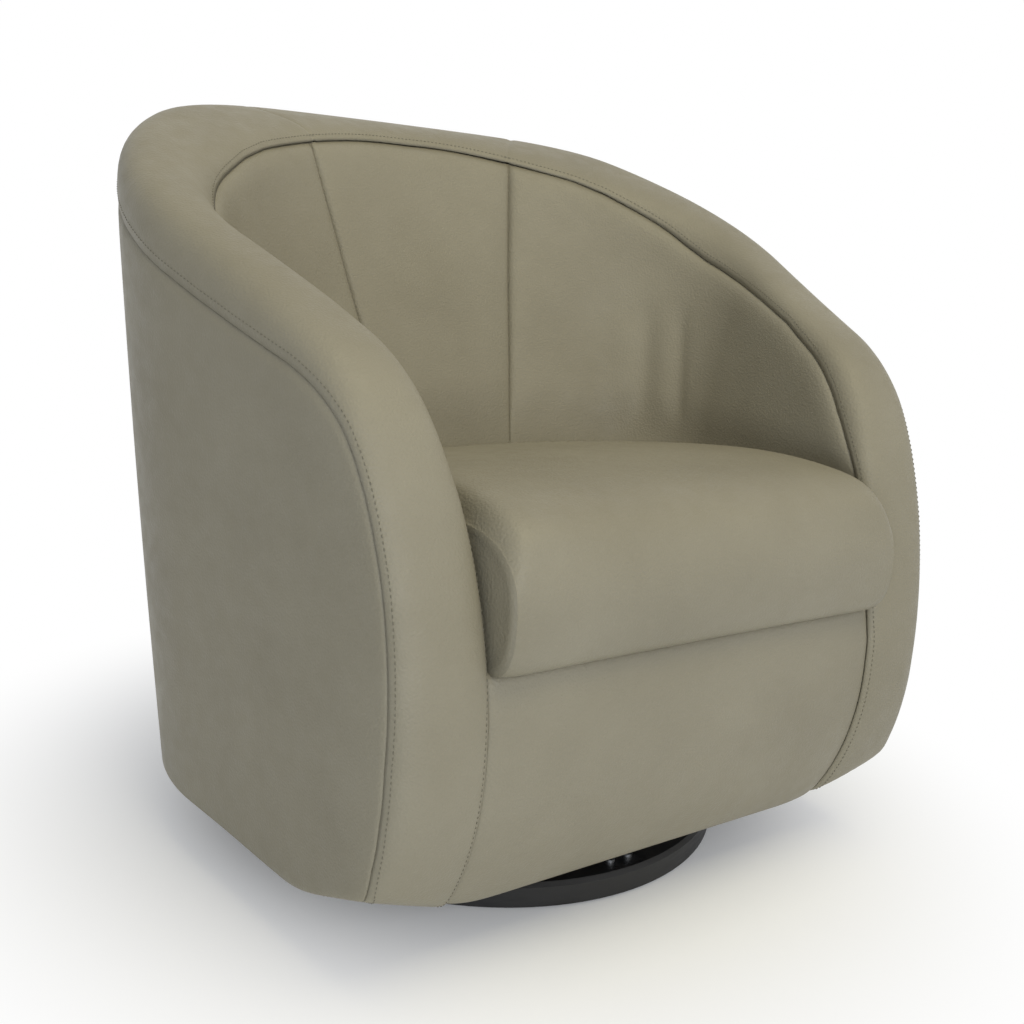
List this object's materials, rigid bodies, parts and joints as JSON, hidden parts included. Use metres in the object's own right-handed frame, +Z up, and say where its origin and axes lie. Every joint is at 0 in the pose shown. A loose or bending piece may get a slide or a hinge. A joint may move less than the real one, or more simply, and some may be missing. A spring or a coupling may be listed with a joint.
{
  "type": "swivel tub armchair",
  "caption": "Low barrel armchair in smooth leather with a padded rim band, a loose boxed seat cushion and a round swivel base that turns on a ball bearing.",
  "frame": {"origin": "on the floor, on the swivel axis, in the middle of the chair's plan", "axes": "+Z up along the swivel axis, -Y towards the sitter's front, +X to the right of the picture"},
  "size_m": [0.8091, 0.7113, 0.7616],
  "materials": {
    "leather": "fine grain, semi-matt",
    "black_wood": "black stain, satin",
    "frame_wood": "raw plywood",
    "zinc_steel": "zinc plated",
    "black_steel": "black satin",
    "ball_steel": "polished",
    "nylon": "matt",
    "foam": "open foam",
    "deck_felt": "black deck cloth",
    "webbing": "woven elastic",
    "dust_cloth": "black non-woven"
  },
  "bodies": {
    "base": {"base_ring": "black_wood", "floor_glides": "nylon", "base_spider": "black_steel", "spider_screws": "zinc_steel", "lower_race_plate": "zinc_steel", "lower_plate_bolts": "zinc_steel", "lower_plate_nuts": "zinc_steel", "king_bolt": "zinc_steel", "king_washer": "zinc_steel", "king_nut": "zinc_steel"},
    "ball_race": {"ball_cage": "nylon", "bearing_balls": "ball_steel"},
    "tub": {"upper_race_plate": "zinc_steel", "plate_bolts": "zinc_steel", "tee_nuts": "zinc_steel", "swivel_board": "frame_wood", "bottom_frame": "frame_wood", "cross_rail_front": "frame_wood", "cross_rail_rear": "frame_wood", "front_board": "frame_wood", "side_rail_left": "frame_wood", "side_rail_right": "frame_wood", "rear_rail": "frame_wood", "arm_post_left": "frame_wood", "arm_post_right": "frame_wood", "top_rail": "frame_wood", "rib_1": "frame_wood", "rib_2": "frame_wood", "rib_3": "frame_wood", "rib_4": "frame_wood", "rib_5": "frame_wood", "rib_6": "frame_wood", "rib_7": "frame_wood", "rib_8": "frame_wood", "rib_9": "frame_wood", "seat_springs": "zinc_steel", "spring_clips": "zinc_steel", "seat_deck": "deck_felt", "back_webbing": "webbing", "band_left": "leather", "band_back": "leather", "band_right": "leather", "inside_left": "leather", "inside_back": "leather", "inside_right": "leather", "front_panel": "leather", "outside_left": "leather", "outside_back": "leather", "outside_right": "leather", "dust_cover": "dust_cloth"},
    "cushion": {"cushion_cover": "leather", "cushion_core": "foam"}
  },
  "joints": [
    {"name": "swivel", "type": "hinge", "parent": "base", "child": "tub", "pos_m": [0, 0, 0.036], "axis": [0, 0, 1], "continuous": true},
    {"name": "ball_race_turn", "type": "hinge", "parent": "base", "child": "ball_race", "pos_m": [0, 0, 0.0336], "axis": [0, 0, 1], "continuous": true},
    {"name": "cushion_lift", "type": "slide", "parent": "tub", "child": "cushion", "axis": [0, 0, 1], "range_m": [0, 0.5]}
  ],
  "couplings": [
    {"joint": "ball_race_turn", "follows": "swivel", "ratio": 0.5}
  ]
}
